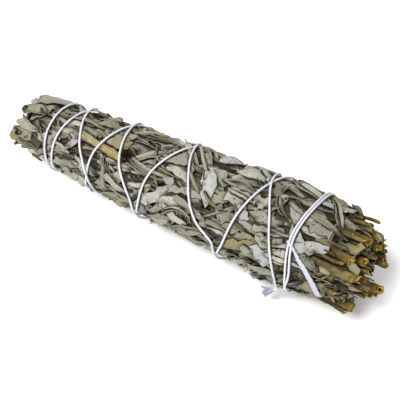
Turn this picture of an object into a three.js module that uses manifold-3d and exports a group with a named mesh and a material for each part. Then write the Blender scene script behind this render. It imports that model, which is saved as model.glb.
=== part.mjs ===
// A bunch of dried white sage, bound with cotton string and lying on its side.
// Millimetres, +Z up. +X runs from the leaf tips to the cut stems, and z = 0 is the surface that
// the bunch lies on. Twelve leafy stems are pressed together, eight round four, and one string
// winds from the cut end to the tips and back. A place on the bunch is given by x, by an angle
// round its axis (0 degrees at the top, 90 at -Y, 180 underneath) and by a depth under its skin.
import * as THREE from 'three';
import { mergeVertices } from 'three/addons/utils/BufferGeometryUtils.js';
import Module from 'manifold-3d';

const wasm = await Module();
wasm.setup();

// ---------------------------------------------------------------- driving dimensions
// The skin's radius at places along the bunch, as [x, radius].
const FORM = [
  [-108, 11.8], [-97, 14.6], [-85, 16.3], [-75, 17.3], [-50, 18.9], [-25, 20.6],
  [0, 22.1], [25, 22.9], [50, 24.0], [70, 24.2], [85, 23.0], [110, 19.6],
];
const WIDTH_SHARE = 1.04; // the bunch is pressed a little wider than it is high
const HEIGHT_SHARE = 0.96;
const AXIS_SLOPE = 0.037; // the stout cut end lifts the axis
const SKIN_CLEARANCE = 2.7; // the skin's lowest line lies this far above the table
const MIDDLE = 2.8; // the place halfway along the bunch, which is put at the origin
const GAP = 0.3; // left between touching pieces
const STEM_GAP = GAP + 0.05; // round a stem in its hole
const CORE_GAP = 0.1; // a pressed core's own share of the gap to a blade
const STRING_GAP = GAP + 0.25; // between the skin and the string

const OUTER_SPRIGS = 8;
const INNER_SPRIGS = 4;
const CORE_START = -92;
const CORE_END = 84;
const CORE_DEPTH = 3.6; // leaves stand this far out of the pressed core
const INNER_SHARE = 0.5; // the inner leafy stems fill this share of the radius

const LEAF_THICKNESS = 1.3; // at the midrib; a leaf thins to its edges
const LEAVES_PER_SPRIG = { over: 10, under: 6 };
const CROWN_LEAVES = 3; // past the core at the tips, on each leafy stem
const BUTT_LEAVES = 2; // turned back towards the cut ends

const STRING_RADIUS = 0.65;
const STRING_STEPS_PER_TURN = 17;
const STRING_SIDES = 6;
const KNOT = { x: 66.5, angle: 125, radius: 1.25, strand: 0.5 };

// ---------------------------------------------------------------- places on the bunch
const radians = THREE.MathUtils.degToRad;

// A seeded draw from 0 to 1, so that every build is the same.
function seeded(seed) {
  let state = seed;
  return () => {
    state = (state + 0x6d2b79f5) | 0;
    let mixed = Math.imul(state ^ (state >>> 15), 1 | state);
    mixed = (mixed + Math.imul(mixed ^ (mixed >>> 7), 61 | mixed)) ^ mixed;
    return ((mixed ^ (mixed >>> 14)) >>> 0) / 4294967296;
  };
}

// The smooth curve through keys of [place, value], read at one place.
function smoothThrough(keys, place) {
  const last = keys.length - 1;
  const at = THREE.MathUtils.clamp(place, keys[0][0], keys[last][0]);
  const i = Math.max(1, keys.findIndex(([key]) => key >= at)) - 1;
  const slope = (j) => {
    const [before, after] = [keys[Math.max(0, j - 1)], keys[Math.min(last, j + 1)]];
    return (after[1] - before[1]) / (after[0] - before[0]);
  };
  const [start, end] = [keys[i], keys[i + 1]];
  const span = end[0] - start[0];
  const t = (at - start[0]) / span;
  return (2 * t ** 3 - 3 * t ** 2 + 1) * start[1] + (t ** 3 - 2 * t ** 2 + t) * span * slope(i)
    + (3 * t ** 2 - 2 * t ** 3) * end[1] + (t ** 3 - t ** 2) * span * slope(i + 1);
}

const radiusAt = (x) => smoothThrough(FORM, x);
const skinSag = FORM.map(([x, radius]) => HEIGHT_SHARE * radius - AXIS_SLOPE * x);
const AXIS_HEIGHT = SKIN_CLEARANCE + Math.max(...skinSag);

function place(x, angle, depth) {
  const radius = radiusAt(x) - depth;
  return new THREE.Vector3(
    x - MIDDLE,
    -WIDTH_SHARE * radius * Math.sin(radians(angle)),
    AXIS_HEIGHT + AXIS_SLOPE * x + HEIGHT_SHARE * radius * Math.cos(radians(angle)),
  );
}

// ---------------------------------------------------------------- closed solids
// A closed skin through rings of points. A first or last ring of one point is a tip.
function loft(rings) {
  const points = rings.flat();
  const faces = [];
  let from = 0;
  rings.slice(1).forEach((ring, i) => {
    const to = from + rings[i].length;
    const count = Math.max(rings[i].length, ring.length);
    for (let j = 0; j < count; j += 1) {
      const next = (j + 1) % count;
      const [a, b] = rings[i].length === 1 ? [from, from] : [from + j, from + next];
      const [c, d] = ring.length === 1 ? [to, to] : [to + j, to + next];
      if (a !== b) faces.push(a, b, d);
      if (c !== d) faces.push(a, d, c);
    }
    from = to;
  });
  const cap = (ring, start, outward) => {
    if (ring.length === 1) return;
    const centre = points.length;
    const sum = ring.reduce((total, point) => total.add(point), new THREE.Vector3());
    points.push(sum.divideScalar(ring.length));
    ring.forEach((_, j) => {
      const [a, b] = [start + j, start + ((j + 1) % ring.length)];
      faces.push(centre, outward ? a : b, outward ? b : a);
    });
  };
  cap(rings[0], 0, false);
  cap(rings[rings.length - 1], from, true);
  return new THREE.BufferGeometry().setFromPoints(points).setIndex(faces);
}

const MERGED = 1e-3; // points nearer than this are one

// A geometry as a solid for cutting and joining, turned so that its faces point out.
function solidOf(geometry) {
  const bare = geometry.clone();
  ['normal', 'uv'].forEach((name) => bare.deleteAttribute(name));
  const merged = mergeVertices(bare, MERGED);
  const vertProperties = merged.attributes.position.array;
  const triVerts = new Uint32Array(merged.index.array);
  const solid = new wasm.Manifold(new wasm.Mesh({ numProp: 3, vertProperties, triVerts }));
  if (solid.volume() > 0) return solid;
  triVerts.reverse();
  return new wasm.Manifold(new wasm.Mesh({ numProp: 3, vertProperties, triVerts }));
}

const joined = (solids) => solids.reduce((whole, solid) => whole.add(solid));

// The largest body of a solid: a loose scrap is dropped and a sealed hollow is filled.
function largestBody(solid) {
  return solid.decompose().reduce((best, body) => (body.volume() > best.volume() ? body : best));
}

// The same, after the points that a cut left closer than a hair have been merged.
const tidied = (solid) => largestBody(solidOf(geometryOf(largestBody(solid))));

function geometryOf(solid) {
  const mesh = solid.getMesh();
  const geometry = new THREE.BufferGeometry();
  geometry.setAttribute('position', new THREE.BufferAttribute(mesh.vertProperties, 3));
  geometry.setIndex(new THREE.BufferAttribute(mesh.triVerts, 1));
  return geometry;
}

const bunch = new THREE.Group();
bunch.name = 'sage_bunch';

function addNode(name, geometry, material) {
  const mesh = new THREE.Mesh(geometry, material);
  mesh.name = name;
  bunch.add(mesh);
}

// ---------------------------------------------------------------- stems
// A squarish woody stem, cut across at its end. Inside the bunch it follows its own leaves.
const STEM_SIDES = 6;
const stemMaterial = new THREE.MeshStandardMaterial({ color: 0x8a7f52, roughness: 0.8 });
const sideStemMaterial = new THREE.MeshStandardMaterial({ color: 0xa89868, roughness: 0.8 });

// The line between two neighbouring leafy stems, in degrees. It waves, and steadies at the butt.
function borderAngle(count, i, x) {
  const wave = 7 * (1 - 0.7 * THREE.MathUtils.smoothstep(x, 30, 75));
  return ((i - 0.5) * 360) / count + wave * Math.sin(x / 28 + 1.9 * (i % count));
}

// A leafy stem's own direction round the axis, which its stem follows.
function sprigAngle(count, i, x) {
  return (borderAngle(count, i, x) + borderAngle(count, i + 1, x)) / 2;
}

// Each stem by ring, leafy stem, side offset in degrees at the butt, radius, cut end, and how far
// it splays from the ring there.
const STEMS = [
  ['outer', 0, 0, 2.3, 98, 1.5], ['outer', 1, -8, 2.4, 95, 2.2], ['outer', 1, 13, 2.2, 100.5, 3.2],
  ['outer', 2, 0, 2.4, 93, 2.2], ['outer', 3, -8, 2.2, 102, 3.6], ['outer', 3, 13, 1.8, 99, 3.2],
  ['outer', 4, 0, 2.4, 101.5, 2.4], ['outer', 5, -8, 2.2, 97, 2], ['outer', 5, 13, 1.6, 103, 2],
  ['outer', 6, 0, 2.4, 99, 1.2], ['outer', 7, -8, 2.2, 93, 1], ['outer', 7, 13, 1.5, 96, 0.5],
  ['inner', 0, -16, 2.2, 99.5, 3.6], ['inner', 0, 26, 1.6, 104, 2.8],
  ['inner', 1, -16, 2.1, 109.5, 1], ['inner', 1, 26, 1.6, 108, 4],
  ['inner', 2, -16, 2.1, 101, 2], ['inner', 2, 26, 1.5, 106.5, 1],
  ['inner', 3, 0, 2.2, 101, 3.6],
].map(([ring, sprig, side, radius, end, splay]) => ({ ring, sprig, side, radius, end, splay }));
const RINGS = { outer: [OUTER_SPRIGS, 0, 0.685], inner: [INNER_SPRIGS, 45, 0.28] };
const STEM_START = -45;
const SIDE_SHOOT_START = 35; // the thinner stem of a pair is a side shoot
const SPLAY_START = 60;
const LAST_BEND = 82;
const PAIR_SPREADS = [10, 60]; // between these the main stem of a pair makes room for the side shoot

// A tube of upright rings through points that run mostly along X. A hole is the same tube, grown.
function limb(points, radius, grow) {
  const ends = [points[0].clone().setX(points[0].x - grow), points.at(-1).clone()];
  ends[1].x += grow;
  return loft([ends[0], ...points.slice(1, -1), ends[1]].map((centre) => (
    Array.from({ length: STEM_SIDES }, (_, i) => {
      const turn = (2 * Math.PI * i) / STEM_SIDES;
      const reach = new THREE.Vector3(0, Math.cos(turn), Math.sin(turn));
      return centre.clone().addScaledVector(reach, radius + grow);
    })
  )));
}

function stemPath(stem) {
  const [count, turned, share] = RINGS[stem.ring];
  const start = stem.side > 0 ? SIDE_SHOOT_START : STEM_START;
  return [start, (start + SPLAY_START) / 2, SPLAY_START, LAST_BEND, stem.end].map((x) => {
    const spread = stem.side * (stem.side > 0 ? 1 : THREE.MathUtils.smoothstep(x, ...PAIR_SPREADS));
    const held = Math.min(x, CORE_END);
    const angle = turned + sprigAngle(count, stem.sprig, held) + spread;
    const splay = stem.splay * THREE.MathUtils.smoothstep(x, SPLAY_START, stem.end);
    return place(x, angle, radiusAt(x) - share * radiusAt(held) - splay);
  });
}

// One short, bare side stem lies in the skin, held under the string.
const SIDE_STEM = { from: [-57, 23], to: [-29.5, 35], radius: 2.2, depth: 2.1 };

function sideStemPath() {
  const { from, to, depth } = SIDE_STEM;
  return [0, 0.5, 1].map((t) => {
    const [x, angle] = [0, 1].map((i) => THREE.MathUtils.lerp(from[i], to[i], t));
    return place(x, angle, depth);
  });
}

const limbs = STEMS.map((stem, i) => ({
  name: `stem_${String(i + 1).padStart(2, '0')}`, path: stemPath(stem), radius: stem.radius,
}));
limbs.push({ name: 'side_stem', path: sideStemPath(), radius: SIDE_STEM.radius });
limbs.forEach(({ name, path, radius }) => {
  addNode(name, limb(path, radius, 0), name === 'side_stem' ? sideStemMaterial : stemMaterial);
});
const stemHoles = limbs.map(({ path, radius }) => solidOf(limb(path, radius, STEM_GAP)));

// ---------------------------------------------------------------- string's route
// One string starts at the knot, goes twice round the butt, winds to the tips and comes back
// over itself. The keys are [angle wound so far in degrees, x].
const STRING_KEYS = [
  [125, 67.4], [340, 69.2], [397, 67.2], [450, 70.6], [700, 71.2], [757, 69.2], [810, 72.4],
  [1060, 46.2], [1117, 40], [1170, 36], [1420, -1.2], [1477, -10], [1530, -12.3], [1780, -37],
  [1837, -43.7], [1890, -45.5], [2140, -64.3], [2197, -68], [2250, -68.6], [2500, -75.2],
  [2557, -75], [2610, -72.6], [2860, -62.2], [2917, -54.1], [2970, -43], [3220, -35],
  [3277, -28.8], [3330, -16], [3580, 1.4], [3637, 12.3], [3668, 21.2], [3690, 32], [3940, 44.6],
  [3997, 56], [4050, 65.2], [4085, 66],
];

// How far along X the nearest turn of string is from a place on the skin.
function nearestTurn(x, angle) {
  let nearest = Infinity;
  const last = STRING_KEYS.at(-1)[0];
  for (let wound = THREE.MathUtils.euclideanModulo(angle, 360); wound <= last; wound += 360) {
    if (wound >= STRING_KEYS[0][0]) {
      nearest = Math.min(nearest, Math.abs(x - smoothThrough(STRING_KEYS, wound)));
    }
  }
  return nearest;
}

// ---------------------------------------------------------------- leaves
// A leaf is a lance-shaped blade that follows the bunch's skin from a sunk root to its tip. Its
// ring of four points has the midrib on the outer face, the two edges, and the midrib inside.
const LEAF_OUTLINE = [[0, 0.35], [0.3, 1], [0.65, 0.9]]; // [share of length, share of width]

function leafBlade(leaf, grow) {
  const yaw = radians(leaf.yaw);
  const along = [leaf.towards * Math.cos(yaw), Math.sin(yaw)];
  const across = [-Math.sin(yaw), leaf.towards * Math.cos(yaw)];
  const start = radiusAt(leaf.x);
  const at = (distance, offset, depth) => {
    const x = leaf.x + along[0] * distance + across[0] * offset;
    const arc = along[1] * distance + across[1] * offset;
    const angle = leaf.angle + THREE.MathUtils.radToDeg(arc / start);
    const held = leaf.limits ? THREE.MathUtils.clamp(angle, ...leaf.limits(x)) : angle;
    return place(x, held, depth);
  };
  // Its tip rises out of the skin where no turn of string holds it down.
  const [bodyX, tipX] = [0.65, 1].map((share) => leaf.x + along[0] * share * leaf.length);
  const tipAngle = leaf.angle + THREE.MathUtils.radToDeg((along[1] * leaf.length) / start);
  const free = Math.min(nearestTurn(bodyX, tipAngle), nearestTurn(tipX, tipAngle));
  const tipRise = leaf.rise * THREE.MathUtils.smoothstep(free, 3.5, 8);
  // A grown blade has blunt edges and a blunt tip, so that it clears the blade all round.
  const ring = (distance, [left, right], outside, rim, inside) => [
    [0, outside - grow], [left, rim - grow], [left, rim + grow],
    [0, inside + grow], [right, rim + grow], [right, rim - grow],
  ].filter((_, i) => grow || i % 3 !== 2).map(([offset, depth]) => at(distance, offset, depth));
  const rings = LEAF_OUTLINE.map(([share, width], i) => {
    const half = (leaf.width * width) / 2;
    const depth = leaf.depths[i] - (i === 2 ? tipRise / 2 : 0);
    return ring(
      share * leaf.length - (i === 0 ? grow : 0),
      [half * leaf.waves[i] + grow, half * (leaf.waves[i] - 2) - grow],
      depth, depth + LEAF_THICKNESS / 2 + leaf.cups[i], depth + leaf.thickness,
    );
  });
  const end = leaf.depths[3] - tipRise;
  const tip = ring(leaf.length + grow, [grow, -grow], end, end, end);
  return solidOf(loft([...rings, grow ? tip : [tip[0]]]));
}

// The shape that every leaf draws for itself: size, edge wave and the cup of its edges.
function drawnLeaf(draw, given) {
  const lift = 1.2 * draw();
  return {
    towards: -1,
    thickness: LEAF_THICKNESS,
    rise: 2.2,
    length: 26 + 14 * draw(),
    width: 9 + 4 * draw(),
    depths: [5, 1.9 + lift / 2, lift, lift + 0.4],
    waves: [1, 0.85 + 0.3 * draw(), 0.85 + 0.3 * draw()],
    cups: [0, 0.9 * (draw() - 0.5), 0.9 * (draw() - 0.5)],
    ...given,
  };
}

const BORDER_MARGIN = 1.6; // degrees between a held leaf and the border

// One dried leaf at the tips has curled up out of the bunch.
const CURLED_TIP = {
  yaw: -22, length: 20, width: 8, rise: 0, depths: [4, -0.6, -2.2, -1], cups: [0, 1.6, 1.8],
};

function outerLeaves(sprig) {
  const draw = seeded(410 + sprig);
  const middle = (x) => sprigAngle(OUTER_SPRIGS, sprig, x);
  const halfAngle = (x) => borderAngle(OUTER_SPRIGS, sprig + 1, x) - middle(x);
  // Leaves of every other leafy stem lie over its neighbours, whose own leaves stay within.
  const over = sprig % 2 === 0;
  const limits = over ? null : (x) => [
    borderAngle(OUTER_SPRIGS, sprig, x) + BORDER_MARGIN,
    borderAngle(OUTER_SPRIGS, sprig + 1, x) - BORDER_MARGIN,
  ];
  const leaf = (x, lane, given) => drawnLeaf(draw, {
    x, angle: middle(x) + lane * halfAngle(x) * 0.55, limits, ...given,
  });
  const leaves = [];
  const count = LEAVES_PER_SPRIG[over ? 'over' : 'under'];
  for (let i = 0; i < count; i += 1) {
    const x = THREE.MathUtils.lerp(86, -66, (i + draw() * 0.6) / count);
    const lane = [-1, 0.9, 0][i % 3] + 0.3 * (draw() - 0.5);
    leaves.push(leaf(x, lane, { yaw: (over ? 75 : 44) * (draw() - 0.5) }));
  }
  for (let i = 0; i < CROWN_LEAVES; i += 1) {
    const flare = 4 * (draw() - 0.6);
    leaves.push(leaf(-75.5 - 4 * draw(), i - 1, {
      yaw: 20 * (draw() - 0.5), length: 18 + 7 * draw(), rise: 0,
      depths: [5, 2.4, 1, 1 - flare],
    }));
  }
  if (sprig === 0) leaves.push(leaf(-82, 0, CURLED_TIP));
  for (let i = 0; i < BUTT_LEAVES; i += 1) {
    leaves.push(leaf(70 + 4 * draw(), i * 1.4 - 0.7, {
      towards: 1, yaw: 30 * (draw() - 0.5), length: 20 + 8 * draw(), rise: 1,
      depths: [5, 1.6, 1, 1.2],
    }));
  }
  return leaves;
}

// Leaves that bulge between the turns of string underneath, and carry the bunch: each pair by
// [x of its root, length, bulge].
const RESTING_PAIRS = [[-53.5, 14, 5.4], [19, 24, 4.2], [61, 19, 4.8]];
const RESTING_SPRIG = 4;

function restingLeaves() {
  const draw = seeded(77);
  return RESTING_PAIRS.flatMap(([x, length, bulge]) => [-8, 8].map((side) => drawnLeaf(draw, {
    x: x + side / 8, angle: 180 + side, yaw: 0, length, width: 12, thickness: 7, rise: 0,
    depths: [3, -bulge, -bulge, 3], cups: [0, 3.4, 3.4],
  })));
}

// Leaf tips past both ends of the inner leafy stems, by side in degrees and share of radius.
const INNER_TIPS = [[-22, 0.62], [20, 0.7], [0, 0.85]];
const INNER_BUTTS = [[-34, 0.66], [12, 0.7]];

function innerLeaves(sprig) {
  const draw = seeded(900 + sprig);
  const leaf = (x, towards, [side, share]) => {
    const depth = share * radiusAt(towards * 95);
    const angle = 45 + sprigAngle(INNER_SPRIGS, sprig, x) + side;
    return drawnLeaf(draw, {
      x, towards, angle, yaw: 0, rise: 0, length: 13 + 7 * draw(), width: 7,
      depths: [depth, depth, depth - 1, depth - 1],
    });
  };
  return [
    ...INNER_TIPS.map((spot) => leaf(-83, -1, spot)),
    ...INNER_BUTTS.map((spot) => leaf(74, 1, spot)),
  ];
}

// The pressed core of a leafy stem: a wedge of the bunch, between its borders.
function sprigCore(ring, sprig, grow) {
  const outer = ring === 'outer';
  const count = outer ? OUTER_SPRIGS : INNER_SPRIGS;
  const turned = RINGS[ring][1];
  const stations = 8;
  const rings = Array.from({ length: stations }, (_, i) => {
    const x = THREE.MathUtils.lerp(CORE_START - grow, CORE_END + grow, i / (stations - 1));
    const ends = i === 0 || i === stations - 1 ? 0.9 : 1;
    const share = INNER_SHARE * radiusAt(x);
    const far = (outer ? radiusAt(x) - CORE_DEPTH : share - 0.8) * ends + grow;
    const near = outer ? share - grow : 1.2;
    const arc = (radius, steps) => {
      const margin = THREE.MathUtils.radToDeg((0.25 - grow) / radius);
      const low = turned + borderAngle(count, sprig, x) + margin;
      const high = turned + borderAngle(count, sprig + 1, x) - margin;
      return steps.map((t) => place(x, THREE.MathUtils.lerp(low, high, t), radiusAt(x) - radius));
    };
    const inside = outer ? arc(near, [1, 0.5, 0]) : arc(near, [0.5]);
    return [...arc(far, [0, 0.25, 0.5, 0.75, 1]), ...inside];
  });
  return solidOf(loft(rings));
}

const leafMaterial = new THREE.MeshStandardMaterial({ color: 0x9a9a88, roughness: 0.95 });
const table = solidOf(new THREE.BoxGeometry(240, 80, 20).translate(0, 0, -10));

const sprigs = [
  ...[0, 2, 4, 6, 1, 3, 5, 7].map((sprig) => ({ ring: 'outer', sprig })),
  ...[0, 1, 2, 3].map((sprig) => ({ ring: 'inner', sprig })),
];
sprigs.forEach((each, order) => {
  const { ring, sprig } = each;
  const leaves = ring === 'outer' ? outerLeaves(sprig) : innerLeaves(sprig);
  if (ring === 'outer' && sprig === RESTING_SPRIG) leaves.push(...restingLeaves());
  const grown = leaves.map((leaf) => leafBlade(leaf, GAP));
  each.clearance = joined([sprigCore(ring, sprig, CORE_GAP), ...grown]);
  let solid = joined([sprigCore(ring, sprig, 0), ...leaves.map((leaf) => leafBlade(leaf, 0))]);
  for (const earlier of sprigs.slice(0, order)) solid = solid.subtract(earlier.clearance);
  for (const hole of stemHoles) solid = solid.subtract(hole);
  solid = tidied(solid.subtract(table));
  addNode(`leaves_${ring}_${sprig + 1}`, geometryOf(solid), leafMaterial);
});

// ---------------------------------------------------------------- string
const STRING_TURN = 2580; // where it turns back at the tips
const STRING_SIT = STRING_GAP + STRING_RADIUS; // its centre over the skin
const CROSSING_LIFT = 2 * STRING_RADIUS + 0.15;
const CROSSING_REACH = 4.5; // the hump starts this far along X from the strand below
const stringMaterial = new THREE.MeshStandardMaterial({ color: 0xe9eaee, roughness: 0.9 });

// On its way back the string rides over each strand that it crosses, in a long low hump.
function crossingLift(wound) {
  if (wound < STRING_TURN) return 0;
  const x = smoothThrough(STRING_KEYS, wound);
  let nearest = Infinity;
  for (let under = wound - 360; under > STRING_KEYS[0][0]; under -= 360) {
    const apart = Math.abs(x - smoothThrough(STRING_KEYS, under));
    if (under < STRING_TURN) nearest = Math.min(nearest, apart);
  }
  return CROSSING_LIFT * (1 - THREE.MathUtils.smoothstep(nearest, 2 * STRING_RADIUS, CROSSING_REACH));
}

class StringRoute extends THREE.Curve {
  getPoint(t, target = new THREE.Vector3()) {
    const wound = THREE.MathUtils.lerp(STRING_KEYS[0][0], STRING_KEYS.at(-1)[0], t);
    const x = smoothThrough(STRING_KEYS, wound);
    return target.copy(place(x, wound, -STRING_SIT - crossingLift(wound)));
  }
}

const stringSection = new THREE.Shape(Array.from({ length: STRING_SIDES }, (_, i) => {
  const turn = (2 * Math.PI * i) / STRING_SIDES;
  return new THREE.Vector2(STRING_RADIUS * Math.cos(turn), STRING_RADIUS * Math.sin(turn));
}));

function windings() {
  const extrudePath = new StringRoute();
  extrudePath.arcLengthDivisions = 3000;
  const turns = (STRING_KEYS.at(-1)[0] - STRING_KEYS[0][0]) / 360;
  const steps = Math.round(turns * STRING_STEPS_PER_TURN);
  return new THREE.ExtrudeGeometry(stringSection, { extrudePath, steps });
}

function stringEnd(points, steps) {
  const extrudePath = new THREE.CatmullRomCurve3(points);
  return new THREE.ExtrudeGeometry(stringSection, { extrudePath, steps });
}

// The knot sits low on the front, where both ends of the string meet.
function knot() {
  const centre = place(KNOT.x, KNOT.angle, -STRING_SIT - KNOT.strand);
  return new THREE.TorusKnotGeometry(KNOT.radius, KNOT.strand, 30, 5, 2, 3)
    .rotateX(radians(-KNOT.angle)).translate(centre.x, centre.y, centre.z);
}

// The starting end is laid along the bunch, and the first turns bind it down.
const STARTING_END = [[66.5, 44], [71.5, 51], [75, 57], [78, 62], [81, 69], [84.5, 78], [88, 92]];
// The finishing end sticks out past the knot and frays into a brush.
const FINISHING_END = [[66.5, 125, 0.4], [65.5, 126, 1.4], [64, 127, 2.2]];
const BRUSH = { length: 7.5, width: 6, overlap: 1.5, out: 0.5 };

// The brush is flat, like a short blade that starts inside the string's end.
function brush() {
  const [x, angle, out] = FINISHING_END.at(-1);
  const depth = -STRING_SIT - out - BRUSH.out;
  return leafBlade({
    x: x + BRUSH.overlap, angle, yaw: 0, towards: -1, length: BRUSH.length, width: BRUSH.width,
    thickness: LEAF_THICKNESS, rise: 0, depths: Array(4).fill(depth), cups: [0, 0, 0],
    waves: [1, 0.8, 1],
  }, 0);
}

const startingEnd = STARTING_END.map(([x, angle]) => place(x, angle, -STRING_SIT));
const finishingEnd = FINISHING_END.map(([x, angle, out]) => place(x, angle, -STRING_SIT - out));
const string = joined([
  solidOf(windings()),
  solidOf(knot()),
  solidOf(stringEnd(startingEnd, 12)),
  solidOf(stringEnd(finishingEnd, 4)),
  brush(),
]);
addNode('string', geometryOf(tidied(string)), stringMaterial);

export default bunch;
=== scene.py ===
import math
import random

import bmesh
import bpy
import numpy as np
from mathutils import Matrix, Vector


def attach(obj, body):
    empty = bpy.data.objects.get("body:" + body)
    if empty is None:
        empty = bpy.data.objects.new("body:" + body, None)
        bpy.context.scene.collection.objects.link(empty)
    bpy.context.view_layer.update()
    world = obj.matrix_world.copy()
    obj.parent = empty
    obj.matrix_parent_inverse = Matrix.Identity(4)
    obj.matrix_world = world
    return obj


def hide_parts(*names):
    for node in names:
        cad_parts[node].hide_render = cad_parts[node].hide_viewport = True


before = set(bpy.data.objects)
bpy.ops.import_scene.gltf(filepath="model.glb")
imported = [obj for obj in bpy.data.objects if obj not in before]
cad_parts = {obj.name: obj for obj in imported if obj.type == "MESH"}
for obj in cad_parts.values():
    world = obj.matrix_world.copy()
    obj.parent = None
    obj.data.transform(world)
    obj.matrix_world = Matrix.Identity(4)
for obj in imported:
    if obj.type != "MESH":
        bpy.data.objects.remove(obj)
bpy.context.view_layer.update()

# ------------------------------------------------------------------ cut stems
# White sage grows square, half-woody stems with a raised ring where each pair of leaves sat. They
# are cut to length and gathered with their cut ends together, and they run on into the leaves.

MM = 0.001
OUTER_SPRIGS, INNER_SPRIGS = 8, 4  # leafy stems in the two rings
FORM = [
    (-108, 11.8), (-97, 14.6), (-85, 16.3), (-75, 17.3), (-50, 18.9), (-25, 20.6), (0, 22.1),
    (25, 22.9), (50, 24.0), (70, 24.2), (85, 23.0), (110, 19.6),
]  # along the bunch, and the radius of its skin there
WIDTH_SHARE = 1.04  # the bunch is pressed a little wider than it is high
HEIGHT_SHARE = 0.96
AXIS_SLOPE = 0.037  # the stout cut end lifts the axis
SKIN_CLEARANCE = 2.7  # the skin's lowest line lies this far above the table
MIDDLE = 2.8  # the place halfway along the bunch, which is put at the origin
AXIS_HEIGHT = SKIN_CLEARANCE + max(HEIGHT_SHARE * radius - AXIS_SLOPE * x for x, radius in FORM)
BORDER_WAVE = 7  # degrees that the borders of the leafy stems wander by
BORDER_PITCH = 28  # mm along the bunch for each radian of that wave
CALM_START, CALM_END, CALMED = 30, 75, 0.7  # they run straighter where the leaves end


def smooth_through(keys, at):
    """A smooth curve through the keys, which are pairs of a place and a value."""
    places, values = np.array(keys, float).T
    slopes = np.empty(len(keys))
    slopes[1:-1] = (values[2:] - values[:-2]) / (places[2:] - places[:-2])
    slopes[0] = (values[1] - values[0]) / (places[1] - places[0])
    slopes[-1] = (values[-1] - values[-2]) / (places[-1] - places[-2])
    at = np.clip(at, places[0], places[-1])
    i = np.clip(np.searchsorted(places, at) - 1, 0, len(keys) - 2)
    span = places[i + 1] - places[i]
    t = (at - places[i]) / span
    start = (2 * t**3 - 3 * t**2 + 1) * values[i] + (t**3 - 2 * t**2 + t) * span * slopes[i]
    end = (3 * t**2 - 2 * t**3) * values[i + 1] + (t**3 - t**2) * span * slopes[i + 1]
    return start + end


def smoothstep(at, low, high):
    """0 up to the low place and 1 past the high one, with a soft start and end."""
    t = np.clip((np.asarray(at, float) - low) / (high - low), 0, 1)
    return t * t * (3 - 2 * t)


def skin_radius(x):
    return smooth_through(FORM, x)


def place(x, angle, above):
    """Places this many mm above the skin. The angle in degrees is 0 on top and 90 at -Y."""
    turn = np.radians(angle)
    radius = skin_radius(x) + above
    x, side, up = np.broadcast_arrays(x, -WIDTH_SHARE * radius * np.sin(turn), radius * np.cos(turn))
    height = AXIS_HEIGHT + AXIS_SLOPE * x + HEIGHT_SHARE * up
    return np.stack([x - MIDDLE, side, height], axis=-1)


def upright(x, angle):
    """Which way is straight out of the skin there."""
    return place(x, angle, 0) - place(x, angle, -1)


def border_angle(count, i, x):
    """Where one leafy stem of a ring of them ends and the next begins."""
    wave = BORDER_WAVE * (1 - CALMED * smoothstep(x, CALM_START, CALM_END))
    return (i - 0.5) * 360 / count + wave * np.sin(x / BORDER_PITCH + 1.9 * (i % count))


def add_sheet(bm, points):
    """A sheet of cells through rows of places in mm. Its faces look along row x column."""
    rows, columns = points.shape[:2]
    made = bmesh.ops.create_grid(
        bm, x_segments=rows - 1, y_segments=columns - 1, size=1, calc_uvs=True)
    for vert, point in zip(made["verts"], points.transpose(1, 0, 2).reshape(-1, 3)):
        vert.co = point * MM
    return [made["verts"][row::rows] for row in range(rows)]


def add_tube(bm, path, outward, section):
    """A closed tube along a path. The section holds each ring's reach outward and sideways."""
    along = np.gradient(path, axis=0)
    along /= np.linalg.norm(along, axis=1, keepdims=True)
    outward = outward - along * (outward * along).sum(axis=1, keepdims=True)
    outward /= np.linalg.norm(outward, axis=1, keepdims=True)
    sideways = np.cross(outward, along)
    reach = section[..., :1] * outward[:, None] + section[..., 1:] * sideways[:, None]
    rings = path[:, None] + reach
    rows = add_sheet(bm, np.concatenate([rings, rings[:, :1]], axis=1))
    bmesh.ops.weld_verts(bm, targetmap={row[-1]: row[0] for row in rows})
    rows = [row[:-1] for row in rows]
    ends = [bmesh.ops.contextual_create(bm, geom=row)["faces"][0] for row in (rows[0], rows[-1])]
    return rows, ends


def linear(hex_colour):
    """An sRGB hex colour as linear red, green, blue and alpha."""
    parts = [int(hex_colour[i:i + 2], 16) / 255 for i in (1, 3, 5)]
    return [p / 12.92 if p <= 0.04045 else ((p + 0.055) / 1.055) ** 2.4 for p in parts] + [1]


def new_material(name, **surface):
    """A material whose shader has these values. An underscore in a name stands for a space."""
    material = bpy.data.materials.new(name)
    material.use_nodes = True
    sockets = material.node_tree.nodes["Principled BSDF"].inputs
    for socket, value in surface.items():
        sockets[socket.replace("_", " ")].default_value = value
    return material


def add_node(material, kind, inputs, **settings):
    """Adds a node. Each of its inputs is a value or another node's output."""
    node = material.node_tree.nodes.new("ShaderNode" + kind)
    for name, value in settings.items():
        setattr(node, name, value)
    for socket, value in inputs.items():
        if isinstance(value, bpy.types.NodeSocket):
            material.node_tree.links.new(value, node.inputs[socket])
        else:
            node.inputs[socket].default_value = value
    return node.outputs


SHARE, FIRST, SECOND, MIXED = 0, 6, 7, 2  # sockets of a Mix node that mixes two colours


def link_surface(material, **sockets):
    surface = material.node_tree.nodes["Principled BSDF"]
    for socket, output in sockets.items():
        material.node_tree.links.new(output, surface.inputs[socket.replace("_", " ")])


def new_bmesh():
    bm = bmesh.new()
    bm.loops.layers.uv.new("UVMap")
    return bm


def add_piece(name, bm, materials, stands_for):
    """Makes the piece an object that rides on the bunch in place of its solid."""
    mesh = bpy.data.meshes.new(name)
    bm.to_mesh(mesh)
    bm.free()
    for material in materials:
        mesh.materials.append(material)
    piece = bpy.data.objects.new(name, mesh)
    bpy.context.scene.collection.objects.link(piece)
    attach(piece, "root")
    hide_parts(stands_for)
    return piece


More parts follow.
